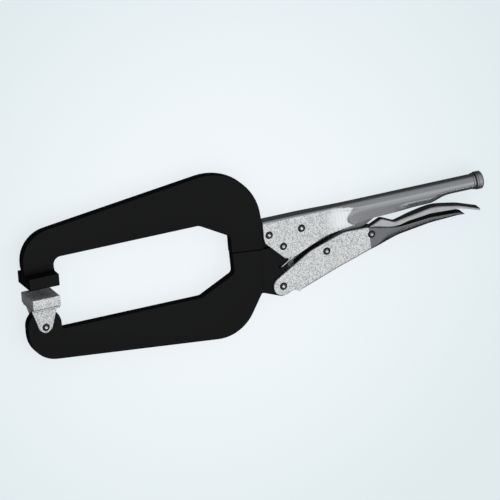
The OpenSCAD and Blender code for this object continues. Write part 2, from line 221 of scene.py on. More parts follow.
class Nodes:
    """A node tree, with one way to add a node and one way to feed a socket."""

    def __init__(self, tree):
        self.tree = tree

    def node(self, kind, settings=None, feeds=None, output=None):
        """Adds a node, sets it, feeds its sockets, and gives the named or the first output."""
        node = self.tree.nodes.new(kind)
        for key, value in (settings or {}).items():
            if key == "stops":
                ramp = node.color_ramp
                while len(ramp.elements) < len(value):
                    ramp.elements.new(0.5)
                for element, (place, shade) in zip(ramp.elements, value):
                    element.position = place
                    element.color = (*shade, 1) if isinstance(shade, tuple) else (shade,) * 3 + (1,)
            else:
                setattr(node, key, value)
        for key, value in (feeds or {}).items():
            socket = next(s for s in node.inputs if s.enabled and key in (s.identifier, s.name))
            self.feed(socket, value)
        outputs = [s for s in node.outputs if s.enabled and output in (None, s.name)]
        return Wire(self, outputs[0])

    def feed(self, socket, value):
        if isinstance(value, Wire):
            self.tree.links.new(value.socket, socket)
        elif isinstance(value, tuple) and len(value) == 3 and socket.type == "RGBA":
            socket.default_value = (*value, 1)
        else:
            socket.default_value = value


class Finish(Nodes):
    """A material under construction, built round its principled shader."""

    def __init__(self, name, **constants):
        self.material = bpy.data.materials.new(name)
        self.material.use_nodes = True
        super().__init__(self.material.node_tree)
        self.shader = self.tree.nodes["Principled BSDF"]
        for key, value in constants.items():
            self.shader.inputs[key.replace("_", " ")].default_value = value

    def place(self):
        return self.node("ShaderNodeTexCoord", output="Object")

    def axes(self):
        """The coordinates x, y and z of the surface in metres, one output each."""
        split = self.node("ShaderNodeSeparateXYZ", None, {"Vector": self.place()})
        return [Wire(self, socket) for socket in split.socket.node.outputs]

    def stretched(self, scale):
        return self.node("ShaderNodeMapping", None, {"Vector": self.place(), "Scale": scale})

    def noise(self, scale, detail=3.0, rough=0.55, where=None):
        return self.node("ShaderNodeTexNoise", None,
                         {"Vector": where or self.place(), "Scale": scale, "Detail": detail,
                          "Roughness": rough}, "Fac")

    def ramp(self, value, *stops):
        return self.node("ShaderNodeValToRGB", {"stops": stops}, {"Fac": value}, "Color")

    def mix(self, share, first, second):
        return self.node("ShaderNodeMix", {"data_type": "RGBA"},
                         {"Factor_Float": share, "A_Color": first, "B_Color": second})

    def between(self, value, low, high):
        return self.node("ShaderNodeMapRange", {"interpolation_type": "SMOOTHSTEP"},
                         {"Value": value, "From Min": low, "From Max": high})

    def relief(self, height, depth):
        return self.node("ShaderNodeBump", None, {"Height": height, "Distance": depth,
                                                  "Strength": 1.0}, "Normal")

    def wear(self, **feeds):
        for key, value in feeds.items():
            self.feed(self.shader.inputs[key.replace("_", " ")], value)
        return self.material


def blacked(name, base, grain_depth, streak):
    """Black oxide on ground steel: very dark, slightly cloudy, with fine grinding lines."""
    black = Finish(name, Metallic=0.0, Specular_IOR_Level=0.10)
    cloud = black.noise(38.0, 4.0, 0.6)
    lines = black.noise(1.0, 2.0, 0.6, black.stretched(streak))
    grain = black.noise(2600.0, 2.0, 0.7)
    scuff = black.between(black.noise(160.0, 6.0, 0.75), 0.66, 0.80)
    tone = black.mix(cloud, tuple(0.75 * c for c in base), tuple(1.3 * c for c in base))
    tone = black.mix(scuff * 0.5, tone, (0.030, 0.031, 0.033))
    return black.wear(Base_Color=tone, Roughness=0.40 + cloud * 0.16 + grain * 0.08,
                      Normal=black.relief(grain * 0.6 + lines * 0.5, grain_depth))


jaw_face = blacked("jaw_black_ground", (0.0060, 0.0060, 0.0065), 0.000035, (60.0, 1500.0, 900.0))
# The sheared rim keeps its own grinding lines; its darker black is painted shade on the sides.
jaw_side_shaded = blacked("jaw_black_sheared_shaded", (0.0022, 0.0022, 0.0025), 0.00009, (1300.0, 1300.0, 60.0))


def blacken(bm):
    """Ground faces take the first black, the sheared rim the second, painted darker as shade on the sides.
    """
    for face in bm.faces:
        face.material_index = 0 if abs(face.normal.z) > 0.8 else 1
    return bm


rolled_rim = 0.6
back_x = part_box("upper_handle")[0].x / mm
top_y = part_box("upper_handle")[1].y / mm - rolled_rim
pad_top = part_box("fixed_pad")[1].y / mm
jaw_front = jaw_low.x
throat_end = back_x - 28
fixed_outline = [
    (jaw_front + 1, pad_top, 0), (jaw_front, pad_top + 7, 4), (jaw_front, 42.4, 25),
    (back_x - 3.4, 66.9, 46), (back_x - 0.4, top_y, 0), (back_x - 0.4, -10.5, 0),
    (back_x - 6.2, -10.5, 3), (throat_end, -8.1, 0), (throat_end, 6, 4),
    (throat_end - 26, opening_above, 8), (12.4, opening_above, 6), (12.4, pad_top + 3, 0),
    (12.8, pad_top, 0)]
body_bm = cut_plate(fixed_outline, jaw_half, jaw_rim)
pivot = pin_centre("jaw_pivot_rivet")
tang = cut_plate([
    (back_x - 4, top_y - 2, 0), (back_x + 40, top_y - 2, 2), (back_x + 40, pivot.y + 6.3, 3),
    (pivot.x, pivot.y + 6.3, 0), (pivot.x - 8, pivot.y + 2, 0), (back_x - 4, pivot.y + 2, 0)],
    fixed_tang_half, 0.3)
join(body_bm, tang)
finish_piece(blacken(body_bm), "upper_jaw_plate", "frame", [jaw_face, jaw_side_shaded],
             ["fixed_jaw"])

# ---------------------------------------------------------------------------------------------
# Fixed pad. A milled and blacked steel block under the end of the upper arm, with all of its edges
# broken to a small radius.
pad_low, pad_high = limits("fixed_pad")


def milled_block(low, high, edge, steps=3):
    """Rectangular block between two corners with its edges broken to a radius."""
    bm = bmesh.new()
    size = high - low
    bmesh.ops.create_cube(bm, size=1, matrix=Matrix.Translation((low + high) / 2)
                          @ Matrix.Diagonal((*size, 1)))
    bmesh.ops.bevel(bm, geom=bm.edges[:], offset=edge, offset_type="OFFSET", affect="EDGES",
                    segments=steps, profile=0.5, material=-1, clamp_overlap=True)
    for face in bm.faces:
        face.smooth = max(abs(c) for c in face.normal) < 0.999
    return bm


block = milled_block(pad_low, pad_high, 0.5)
finish_piece(blacken(block), "upper_pad_block", "frame", [jaw_face, jaw_side_shaded],
             ["fixed_pad"])

# ---------------------------------------------------------------------------------------------
# Upper handle. One 2 mm steel sheet, folded to a channel over the jaw's tang and rolled to a
# tube at its rear end. The flat cheeks are blasted, the tube is left smooth, and all is plated.
sheet = 2.0
cheek_half = 5.6
tube = 6.2
axis_y = top_y - tube
tube_end = limits("upper_handle")[1].x
flank_steps = 19


def guide(corners):
    """Points of a line through corners [x, y, radius], in order."""
    bm = bmesh.new()
    points = [(v.co.x, v.co.y) for v in draw(bm, corners, closed=False)]
    bm.free()
    return points


def height_at(points, x):
    """Height of a guide line at x."""
    for (x0, y0), (x1, y1) in zip(points, points[1:]):
        if x0 <= x <= x1 and x1 > x0:
            return y0 + (y1 - y0) * (x - x0) / (x1 - x0)
    return points[0][1] if x < points[0][0] else points[-1][1]


def ease(value, low, high):
    t = min(1.0, max(0.0, (value - low) / (high - low)))
    return t * t * (3 - 2 * t)


def spaced(values, gap):
    """The values in order, without those that follow another by no more than the gap."""
    values = sorted({round(value, 2) for value in values})
    return [value for i, value in enumerate(values) if i == 0 or value - values[i - 1] > gap]


def clockwise(points):
    """True when the section runs clockwise, so that its inside lies to the right."""
    middle = sum(p.y for p in points) / len(points)
    return sum((a.y - middle) * b.z - (b.y - middle) * a.z for a, b in zip(points, points[1:])) > 0


def thick_section(x, line, wall):
    """Half-section line of (y, z) points given its wall inwards, as one loop of points at x."""
    points = [Vector((0, y, z)) for y, z in line]
    inwards = -wall if clockwise(points) else wall
    inner = []
    for i, p in enumerate(points):
        before = points[max(i - 1, 0)]
        after = points[min(i + 1, len(points) - 1)]
        if i == 0:
            before = Vector((0, after.y, -after.z))
        tangent = (after - before).normalized()
        inner.append(p + Vector((0, tangent.z, -tangent.y)) * inwards)
    inner[0].z = 0
    for q in inner:
        q.z = max(q.z, 0)
    rim_out, rim_in = points[-1], inner[-1]
    last = points[-2] - points[-1]
    edge = last.normalized() * min(0.4, 0.3 * last.length)
    soft = [rim_out + edge, rim_out + (rim_in - rim_out) * 0.2, rim_out + (rim_in - rim_out) * 0.8,
            rim_in + edge]
    return [(x, p.y, p.z) for p in points[:-1] + soft + inner[-2::-1]]


def pressed_sheet(rows):
    """Sheet metal drawn through its half-sections, capped at both ends and mirrored on the
    middle plane."""
    bm = bmesh.new()
    line = [bm.verts.new(p) for p in rows[0]]
    edges = [bm.edges.new(pair) for pair in zip(line, line[1:])]
    ends = [line]
    inner = set(line[len(line) // 2 + 1:])
    for row in rows[1:]:
        step = bmesh.ops.extrude_edge_only(bm, edges=edges)["geom"]
        fresh = {g for g in step if isinstance(g, bmesh.types.BMVert)}
        line = [next(e.other_vert(v) for e in v.link_edges if e.other_vert(v) in fresh)
                for v in line]
        edges = [next(e for e in a.link_edges if e.other_vert(a) is b) for a, b in zip(line, line[1:])]
        for v, place in zip(line, row):
            v.co = place
        inner.update(line[len(line) // 2 + 1:])
    ends.append(line)
    for face in bm.faces:
        face.material_index = int(all(v in inner for v in face.verts))
    for end in ends:
        count = len(end)
        for i in range(count // 2 - 1):
            quad = [end[i], end[i + 1], end[count - 2 - i], end[count - 1 - i]]
            if len(set(quad)) == 4:
                bm.faces.new(quad)
    bmesh.ops.remove_doubles(bm, verts=bm.verts, dist=1e-3)
    mirror_across(bm, 1e-3)
    bmesh.ops.dissolve_degenerate(bm, dist=1e-3, edges=bm.edges)
    turn_smooth(bm)
    return bm


def turned(profile, sides=48):
    """Solid of revolution about the screw's axis, from points (x, radius)."""
    bm = bmesh.new()
    line = [bm.verts.new((x, axis_y + r, 0)) for x, r in profile]
    edges = [bm.edges.new(pair) for pair in zip(line, line[1:])]
    bmesh.ops.spin(bm, geom=line + edges, cent=(0, axis_y, 0), axis=(1, 0, 0), angle=math.tau,
                   steps=sides, use_merge=True)
    bmesh.ops.remove_doubles(bm, verts=bm.verts, dist=1e-3)
    turn_smooth(bm)
    return bm


lower_line = guide([
    (back_x, -4.5, 0), (back_x + 17, -22.3, 4), (back_x + 25.5, -22.3, 4), (back_x + 52.5, -10.6, 30),
    (back_x + 90, axis_y - 11.4, 60), (tube_end - 39, axis_y - 9.9, 5),
    (tube_end - 19, axis_y - tube, 10), (tube_end, axis_y - tube, 0)])
front_arc = [(back_x + 9 - 9 * math.cos(a), -1.5 - 9 * math.sin(a))
             for a in (math.radians(d) for d in range(0, 47, 6))]
lower_line = front_arc + [p for p in lower_line if p[0] > front_arc[-1][0] + 0.3]
leaf_edge = [(back_x + along, y) for along, y in (
    (58, 11.6), (70, 9.7), (77.6, 8.6), (76.4, 6.0), (73.2, 3.0), (71.9, -0.3), (72.9, -3.2),
    (76.9, -6.0), (81, -7.5))]


def leaf_at(y):
    """Where the flat cheek ends and the rolled tube starts, at height y."""
    if y >= leaf_edge[0][1]:
        return leaf_edge[0][0]
    return next((x0 + (x1 - x0) * (y0 - y) / (y0 - y1)
                 for (x0, y0), (x1, y1) in zip(leaf_edge, leaf_edge[1:]) if y1 <= y <= y0),
                leaf_edge[-1][0])


def formed(x, y):
    """Share of the rolled tube in the sheet's shape: a crisp edge low on the cheek, and a long
    gentle change along the back."""
    slow = ease(y, 5.0, 11.0)
    return ease(x, leaf_at(y) - 0.2 - 30 * slow, leaf_at(y) + 2.4 + 24 * slow)


def flank(depth, rim_half):
    """Pressed side of the tube as (fall, half-width): bent to a radius, then a flat slope."""
    radius = 14.0
    steep, flat = math.radians(40), 0.0
    for _ in range(30):
        tilt = (steep + flat) / 2
        straight = max(0.0, depth - radius * math.sin(tilt))
        if tube - radius * (1 - math.cos(tilt)) - straight * math.tan(tilt) > rim_half:
            flat = tilt
        else:
            steep = tilt
    line = []
    for i in range(flank_steps + 1):
        fall = depth * i / flank_steps
        bent = min(tilt, math.asin(min(1.0, fall / radius)))
        line.append((fall, tube - radius * (1 - math.cos(bent))
                     - max(0.0, fall - radius * math.sin(tilt)) * math.tan(tilt)))
    return line


def handle_row(x):
    """Half-section of the upper handle, from the middle of its back down to the cheek's rim."""
    low = min(height_at(lower_line, x), top_y - 0.4)
    closing = ease(x, tube_end - 40, tube_end - 19)
    flat, round_ = [], []
    bend = 2.6
    reach = cheek_half - bend
    for i in range(4):
        flat.append((top_y, reach * i / 4))
    for i in range(9):
        a = math.radians(90 * i / 8)
        flat.append((top_y - bend + bend * math.cos(a), reach + bend * math.sin(a)))
    side = top_y - bend
    for i in range(1, flank_steps + 1):
        flat.append((side + (low - side) * i / flank_steps, cheek_half))
    for i in range(13):
        a = math.radians(90 * i / 12)
        round_.append((axis_y + tube * math.cos(a), tube * math.sin(a)))
    slot_half = 3.9 - 1.5 * ease(x, back_x + 113, back_x + 133)
    pressed = flank(axis_y - low, slot_half)
    for i in range(1, flank_steps + 1):
        fall, half = pressed[i]
        a = math.radians(90 * i / flank_steps)
        fall += (tube * math.sin(a) - fall) * closing
        half += (tube * math.cos(a) - half) * closing
        round_.append((axis_y - fall, half))
    row = []
    for (fy, fz), (ry, rz) in zip(flat, round_):
        share = formed(x, fy)
        row.append((fy + (ry - fy) * share, fz + (rz - fz) * share))
    return thick_section(x, row, min(sheet, 0.45 * (top_y - low)))


def collar_rim():
    """Rolled rim round the tube's rear end, and the threaded plug that closes it."""
    bore, plug = 4.05, 20
    return turned([
        (tube_end - 1.9, tube - 0.1), (tube_end - 1.8, tube + 0.2), (tube_end - 1.3, tube + 0.55),
        (tube_end - 0.7, tube + rolled_rim), (tube_end - 0.2, tube + 0.4), (tube_end, tube),
        (tube_end, bore + 0.25), (tube_end - 0.4, bore), (tube_end - plug, bore),
        (tube_end - plug, tube - 1)], 64)


stations = [x for x, _ in front_arc] + [x for x, _ in lower_line if x < back_x + 60]
for start, step, count in ((8, 1.5, 46), (66, 0.8, 30), (90, 3, 19), (144, 1.2, 20)):
    stations += [back_x + start + step * i for i in range(count)]
stations += [tube_end - 10, tube_end]
stations = spaced([x for x in stations if back_x <= x <= tube_end], 0.25)
handle_bm = pressed_sheet([handle_row(x) for x in stations])
join(handle_bm, collar_rim())
tab_x, tab_y = back_x + 68, axis_y - 0.9
join(handle_bm, cut_plate([(tab_x - 2.5, top_y - 1.9, 0), (tab_x - 2.5, tab_y - 2, 1.9),
                           (tab_x + 2.5, tab_y - 2, 1.9), (tab_x + 2.5, top_y - 1.9, 0)],
                          1.0, 0.2, [(tab_x, tab_y, 0.9)]))


def plated(name, smooth_and_shade_where, rubbed_highlight_where=None, bright=0.90, smooth_and_shade_tone=(0.25, 0.253, 0.258)):
    """Plated steel: blasted to a coarse sparkle, and in the smooth tone where the first mask is 1, where a
    dark smooth tone paints shade lines. Where the second mask is 1 it is rubbed and painted near white
    with fine arcs, partly a painted highlight."""
    plate = Finish(name, Metallic=0.9, Specular_IOR_Level=0.5)
    coarse = plate.noise(1000.0, 2.0, 0.6)
    fine = plate.noise(2100.0, 2.0, 0.7)
    cloud = plate.noise(55.0, 3.0, 0.5)
    speck = plate.ramp(coarse * 0.7 + fine * 0.3, (0.40, 0.36), (0.47, (0.64, 0.645, 0.65)), (0.58, bright))
    tint = plate.mix(cloud * 0.2, speck, (0.60, 0.61, 0.62))
    pits = coarse * 0.6 + fine * 0.4
    # The smooth mask also carries painted shade lines, which take a dark smooth tone.
    smooth = smooth_and_shade_where(plate)
    if rubbed_highlight_where:
        rubbed = rubbed_highlight_where(plate)
        arcs = plate.node("ShaderNodeTexWave", {"wave_type": "RINGS", "rings_direction": "SPHERICAL"},
                          {"Vector": plate.place(), "Scale": 110.0, "Distortion": 4.0, "Detail": 3.0},
                          "Fac")
        # Near-white arcs over the rubbed zone: partly a rubbed finish, partly a painted highlight.
        tint = plate.mix(rubbed, tint, plate.mix(arcs, (0.87, 0.875, 0.88), (0.95, 0.955, 0.96)))
        pits = pits * (1 - rubbed)
    drawn = plate.noise(1.0, 3.0, 0.6, plate.stretched((30.0, 1500.0, 1500.0)))
    polish_and_shade = plate.mix(drawn, smooth_and_shade_tone, tuple(1.35 * c for c in smooth_and_shade_tone))
    return plate.wear(Base_Color=plate.mix(smooth, tint, polish_and_shade),
                      Roughness=(0.42 + fine * 0.2) * (1 - smooth) + (0.20 + drawn * 0.10) * smooth,
                      Normal=plate.relief(pits * (1 - smooth) + drawn * smooth * 0.06, 0.00012))


def vertex_mask(layer):
    """Mask that is stored on the mesh's vertices."""
    return lambda plate: plate.node("ShaderNodeAttribute", {"attribute_name": layer}, None, "Fac")


# The insides of the pressed sheets are painted near black with a faint mottle, as painted shade in the
# channels.
inside_shade = Finish("sheet_inside_painted_shade", Metallic=0.6, Specular_IOR_Level=0.2)
inside_mottle = inside_shade.noise(300.0, 4.0, 0.6)
inside_painted_shade = inside_shade.wear(Base_Color=inside_shade.mix(inside_mottle, (0.012, 0.012, 0.013), (0.05, 0.05, 0.052)),
                          Roughness=0.45 + inside_mottle * 0.25, Normal=inside_shade.relief(inside_mottle, 0.00008))
handle_bm.verts.layers.float.new("rolled")
handle_bm.verts.layers.float.new("rubbed")
rolled_layer = handle_bm.verts.layers.float["rolled"]
rubbed_highlight_layer = handle_bm.verts.layers.float["rubbed"]
for v in handle_bm.verts:
    along = ease(v.co.x, leaf_at(v.co.y) - 0.3, leaf_at(v.co.y) + 0.9)
    back = ease(v.co.y, top_y - 2.4, top_y - 1.2)
    v[rolled_layer] = max(along, back)
    # Low on the cheek's rear the sheet is rubbed and painted near white, partly as a highlight.
    v[rubbed_highlight_layer] = ease(v.co.x, back_x + 50, back_x + 66) * ease(v.co.y, -9, -3)
handle_plate = plated("handle_plated_sheet", vertex_mask("rolled"), vertex_mask("rubbed"))
finish_piece(handle_bm, "upper_handle_sheet", "frame",
             [handle_plate, inside_painted_shade], ["upper_handle"])

# ---------------------------------------------------------------------------------------------
# Rivets. Turned steel pins through the sheet and the plates, each peened over a small cup punch,
# which leaves a low dome with a dimple and a dark ring round it. The ring is painted near black,
# partly as its own dark upset rim and partly as painted shade.
def rivet_finish(name, low, high):
    steel = Finish(name, Metallic=1.0)
    ring = steel.noise(700.0, 3.0, 0.6)
    return steel.wear(Base_Color=steel.mix(ring, (low,) * 3, (high,) * 3),
                      Roughness=0.16 + ring * 0.15, Normal=steel.relief(ring, 0.00002))


rivet_crown = rivet_finish("rivet_punched_cup", 0.75, 0.98)
# The upset rim is painted near black, partly as its own finish and partly as painted shade.
rivet_dark_painted_shade = rivet_finish("rivet_upset_rim_painted_shade", 0.012, 0.04)


def peened_rivet(node):
    """Rivet turned about its axis: shank, domed head, and the dimple of the cup punch."""
    low, high = limits(node)
    radius = (high.x - low.x) / 2
    top = high.z
    profile = [(0.01, top - 0.95), (0.4, top - 0.9), (0.95, top - 0.42), (1.25, top - 0.08),
               (1.45, top), (1.9, top - 0.03), (2.5, top - 0.16), (radius - 0.15, top - 0.42),
               (radius, top - 0.66), (radius, top - 0.72), (2.5, top - 0.74), (2.5, 0)]
    bm = bmesh.new()
    line = [bm.verts.new((r, 0, z)) for r, z in profile]
    edges = [bm.edges.new(pair) for pair in zip(line, line[1:])]
    bmesh.ops.spin(bm, geom=line + edges, cent=(0, 0, 0), axis=(0, 0, 1), angle=math.tau, steps=36,
                   use_merge=True)
    bmesh.ops.remove_doubles(bm, verts=bm.verts, dist=0.005)
    mirror_across(bm, 1e-3)
    turn_smooth(bm)
    for face in bm.faces:
        face.material_index = int(face.calc_center_median().xy.length > 1.3)
    centre = pin_centre(node)
    bmesh.ops.translate(bm, vec=(centre.x, centre.y, 0), verts=bm.verts)
    return bm


for node, body in (("front_jaw_rivet", "frame"), ("rear_jaw_rivet", "frame"),
                   ("jaw_pivot_rivet", "frame"), ("swivel_rivet", "swivel_foot"),
                   ("lever_pivot_rivet", "lower_handle"), ("link_rivet", "lower_handle"),
                   ("release_rivet", "lower_handle")):
    finish_piece(peened_rivet(node), node + "_peened", body,
                 [rivet_crown, rivet_dark_painted_shade], [node])

# ---------------------------------------------------------------------------------------------
# Lower jaw. The second blacked plate, with the lower arm in front and a thinner ground tang
# behind, which turns between the cheeks of both handles.
tang_x = back_x - 2.7
heel = pin_centre("lever_pivot_rivet")
swivel = pin_centre("swivel_rivet")
ear_r = 14.2
arm_bm = cut_plate([
    (jaw_front, -62.8, 25), (throat_end + 3.3, -80.6, 33), (back_x - 4.6, -47.6, 1.5),
    (tang_x, -48.3, 0), (tang_x, -11.1, 0), (throat_end + 0.4, -8.7, 0), (throat_end + 0.9, -26.2, 4),
    (throat_end - 28, -opening_below, 6), (swivel.x + ear_r + 0.4, -opening_below, 1.5),
    (swivel.x + ear_r, swivel.y + ear_r, 14), (jaw_front, swivel.y + ear_r, 13.9)], jaw_half, jaw_rim)
hook_hole = (pivot.x - 2.7, pivot.y - 17.8, 1.4)
tail_bm = cut_plate([
    (tang_x - 2, -47.5, 0), (heel.x - 1.6, heel.y - 8.95, 8), (heel.x + 9, heel.y - 9, 8.4),
    (heel.x + 8.6, heel.y + 3.4, 3), (heel.x + 5.6, heel.y + 13.4, 6), (heel.x + 7.4, heel.y + 22, 8),
    (pivot.x + 5.6, pivot.y - 5, 5), (pivot.x + 5.6, pivot.y + 5.6, 5.5),
    (pivot.x - 4, pivot.y + 5.6, 4), (pivot.x - 7, -11.1, 0), (tang_x - 2, -11.1, 0)],
    swing_tang_half, 0.35, [hook_hole])
join(arm_bm, tail_bm)
finish_piece(blacken(arm_bm), "lower_jaw_plate", "lower_jaw", [jaw_face, jaw_side_shaded],
             ["swing_jaw"])

# ---------------------------------------------------------------------------------------------
# Swivel pad and its bracket. The pad is a milled block on a pressed base plate, whose two cheeks
# taper to a round ear each side of the lower jaw. Both are blasted and plated.
foot_low, foot_high = limits("swivel_pad")
bracket_low, bracket_high = limits("swivel_bracket")
base_under = bracket_high.y - 1.8


def joint_painted_shade(plate):
    """Dark lines of painted shade where the block sits on the base plate and where the cheeks start."""
    _, y, _ = plate.axes()
    near = plate.node("ShaderNodeMath", {"operation": "PINGPONG"},
                      {"Value": y - base_under * mm, "Value_001": 0.9 * mm})
    line = 1 - plate.between(near, 0.0001, 0.0006)
    inside = plate.between(y, (base_under - 0.5) * mm, (base_under - 0.3) * mm)
    above = 1 - plate.between(y, (bracket_high.y + 0.4) * mm, (bracket_high.y + 0.6) * mm)
    return line * inside * above


# The dark smooth tone paints shade lines in the joints of the pad and its bracket.
pad_plate = plated("pad_plated_blasted", joint_painted_shade, bright=0.95, smooth_and_shade_tone=(0.05, 0.05, 0.052))
finish_piece(milled_block(foot_low, foot_high, 0.45), "swivel_pad_block", "swivel_foot",
             [pad_plate], ["swivel_pad"])

bracket_bm = milled_block(Vector((bracket_low.x, base_under, -12)),
                          Vector((bracket_high.x, bracket_high.y, 12)), 0.5)
for side in (-1, 1):
    ear = cut_plate([
        (bracket_low.x + 0.3, base_under + 0.6, 0), (bracket_low.x + 0.8, base_under - 2, 5),
        (swivel.x - 5.6, swivel.y - 1.5, 5), (swivel.x, swivel.y - 6.3, 4.6),
        (swivel.x + 5.6, swivel.y - 1.5, 5), (bracket_high.x - 0.8, base_under - 2, 5),
        (bracket_high.x - 0.3, base_under + 0.6, 0)], 1.0, 0.35)
    bmesh.ops.translate(ear, vec=(0, 0, side * 5.3), verts=ear.verts)
    join(bracket_bm, ear)
finish_piece(bracket_bm, "swivel_bracket_pressed", "swivel_foot", [pad_plate],
             ["swivel_bracket"])

# ---------------------------------------------------------------------------------------------
# Lower lever. A second pressed channel, open towards the upper handle and cut away under its
# round nose. Its cheeks are blasted up to the release pivot, and its tail is polished.
nose = 8.0
tail_x = limits("lower_lever")[1].x
nose_points = [(heel.x - nose * math.cos(a), nose * math.sin(a))
               for a in (math.radians(d) for d in range(0, 61, 6))]
upper_guide = [(x, heel.y + y) for x, y in nose_points] + [
    p for p in guide([(heel.x - 4.1, heel.y + 6.9, 0), (heel.x + 25.7, heel.y + 24.5, 30),
                      (heel.x + 55.7, heel.y + 34.2, 18), (heel.x + 77.7, heel.y + 33.5, 14),
                      (heel.x + 99.7, heel.y + 28.2, 25), (heel.x + 131.7, heel.y + 30.6, 60),
                      (tail_x - 5, heel.y + 29.5, 6), (tail_x, heel.y + 27.3, 0)])
    if p[0] > heel.x - 3.6]
lower_guide = [(x, heel.y - y) for x, y in nose_points] + [
    (heel.x, heel.y - nose), (heel.x + 3, heel.y - 7.5), (heel.x + 6.5, heel.y - 5.9),
    (heel.x + 9.5, heel.y - 5.3), (heel.x + 11.2, heel.y - 5.7)] + guide([
        (heel.x + 13.7, heel.y - 7.5, 0), (heel.x + 49.5, heel.y + 5.2, 60),
        (heel.x + 77.7, heel.y + 14.2, 60), (heel.x + 102.7, heel.y + 20.5, 60),
        (heel.x + 129.7, heel.y + 24.5, 60), (tail_x, heel.y + 27.2, 0)])


def lever_row(x):
    """Half-section of the lower lever, from the middle of its folded edge up to the rim."""
    low, high = height_at(lower_guide, x), height_at(upper_guide, x)
    high = max(high, low + 0.05)
    rounder = ease(x, release_x0 + 2, release_x0 + 28)
    rise = min(2.4 + 14 * rounder, (0.48 + 0.50 * rounder) * (high - low))
    bend = min(2.4 + 2.8 * rounder, rise)
    row = [(low, (cheek_half - bend) * i / 3) for i in range(3)]
    for i in range(10):
        a = math.radians(10 * i)
        row.append((low + rise - rise * math.cos(a), cheek_half - bend + bend * math.sin(a)))
    for i in range(1, 11):
        row.append((low + rise + (high - low - rise) * i / 10, cheek_half))
    return thick_section(x, row, min(sheet, 0.42 * (high - low)))


fold_x = heel.x + 13.7
release_x0 = pin_centre("release_rivet").x
rear = [fold_x + 2 * i for i in range(73)] + [tail_x - 4 + 0.5 * i for i in range(8)]
rear = spaced([x for x in rear if x < tail_x - 0.1], 0) + [tail_x]
lever_bm = pressed_sheet([lever_row(x) for x in rear])
overlap_x = fold_x + 6
nose_outline = ([(x, y, 0) for x, y in upper_guide if x < overlap_x]
                + [(overlap_x, height_at(upper_guide, overlap_x) - 0.1, 0), (overlap_x, heel.y - 3, 0)]
                + [(x, y, 0) for x, y in reversed(lower_guide) if nose_points[0][0] < x < fold_x + 0.1])
for side in (-1, 1):
    cheek = cut_plate(nose_outline, sheet / 2 - 0.015, 0.2)
    bmesh.ops.translate(cheek, vec=(0, 0, side * (cheek_half - sheet / 2)), verts=cheek.verts)
    join(lever_bm, cheek)


def polished_mask(plate):
    """1 behind the slanted line through the release pivot, where the blasting stops."""
    x, y, _ = plate.axes()
    blast_end = (release_x0 - 3.1) * mm
    return plate.between(x + y * 0.05 - blast_end, 0.0, 0.0006)


lever_plate = plated("lever_plated_sheet", polished_mask, smooth_and_shade_tone=(0.12, 0.123, 0.128))
finish_piece(lever_bm, "lower_lever_sheet", "lower_handle",
             [lever_plate, inside_painted_shade], ["lower_lever"])

# ---------------------------------------------------------------------------------------------
# Toggle link. A forged bar from the lower lever back towards the screw: a thick eye in front, a
# plain tapered shank, and a round rear end that stops a little short of the screw's nose.
link_pin = pin_centre("link_rivet").xy.to_3d()
link_end_r = 2.8
link_end = Vector((limits("toggle_link")[1].x - link_end_r, axis_y, 0))
link_way = (link_end - link_pin).normalized()
across = Vector((-link_way.y, link_way.x, 0))


def along_link(distance, aside, radius):
    """Corner at a distance behind the link's rivet and to one side of its middle line."""
    p = link_pin + link_way * distance + across * aside
    return (p.x, p.y, radius)


tip = (link_end - link_pin).length + link_end_r
link_bm = cut_plate([
    along_link(-5.3, -5.3, 5), along_link(7, -5.2, 8), along_link(tip, -link_end_r, 2.7),
    along_link(tip, link_end_r, 2.7), along_link(7, 5.2, 8), along_link(-5.3, 5.3, 5)], 1.8, 0.4)
eye = bmesh.new()
bmesh.ops.create_cone(eye, cap_ends=True, segments=40, radius1=5.4, radius2=5.4, depth=6.7,
                      matrix=Matrix.Translation(link_pin))
bmesh.ops.bevel(eye, geom=[e for e in eye.edges if abs(e.verts[0].co.z - e.verts[1].co.z) < 0.1],
                offset=0.5, offset_type="OFFSET", affect="EDGES", segments=2, profile=0.5, material=-1)
join(link_bm, eye)
link_steel = Finish("link_dark_forged", Metallic=1.0)
scale = link_steel.noise(420.0, 5.0, 0.7)
link_steel = link_steel.wear(
    Base_Color=link_steel.mix(scale, (0.10, 0.10, 0.105), (0.26, 0.26, 0.27)),
    Roughness=0.34 + scale * 0.25, Normal=link_steel.relief(scale, 0.0001))
finish_piece(link_bm, "toggle_link_forged", "link", [link_steel], ["toggle_link"])

# ---------------------------------------------------------------------------------------------
# Release lever. A thin stamping, folded down along both sides: narrow where it turns inside the
# lower lever, wider behind as a finger blade with a bent tip. It is polished and plated.
release = pin_centre("release_rivet")
release_low, release_high = limits("release_lever")
top_guide = guide([
    (release.x - 11, release.y + 0.2, 0), (release.x - 4, release.y + 4, 3),
    (release.x + 3, release.y + 7, 6), (release.x + 10.8, release.y + 10.4, 1.5),
    (release.x + 22, release.y + 5.2, 4), (release.x + 34, release.y + 7.7, 6),
    (release.x + 56, release.y + 11.6, 40), (release.x + 78, release.y + 7.6, 40),
    (release_high.x, release.y + 1.4, 0)])
flank_guide = guide([
    (release.x - 11, release.y - 2.6, 0), (release.x - 4, release.y - 4.4, 4),
    (release.x + 4, release.y - 4.4, 4), (release.x + 22, release.y + 0.4, 4),
    (release.x + 34, release.y + 4.0, 4), (release.x + 52, release.y + 6.1, 8),
    (release.x + 78, release.y + 5.0, 20), (release_high.x, release.y - 0.4, 0)])


def release_row(x):
    """Half-section of the release lever, from the middle of its back down one flank."""
    high, low = height_at(top_guide, x), height_at(flank_guide, x)
    wide = 3.3 + 1.7 * ease(x, release.x + 21, release.x + 42)
    low = min(low, high - 0.8)
    bend = min(1.5, 0.6 * (high - low))
    row = [(high, (wide - bend) * i / 3) for i in range(3)]
    for i in range(6):
        a = math.radians(18 * i)
        row.append((high - bend + bend * math.cos(a), wide - bend + bend * math.sin(a)))
    for i in range(1, 5):
        row.append((high - bend + (low - high + bend) * i / 4, wide))
    return thick_section(x, row, min(1.3, 0.4 * (high - low)))


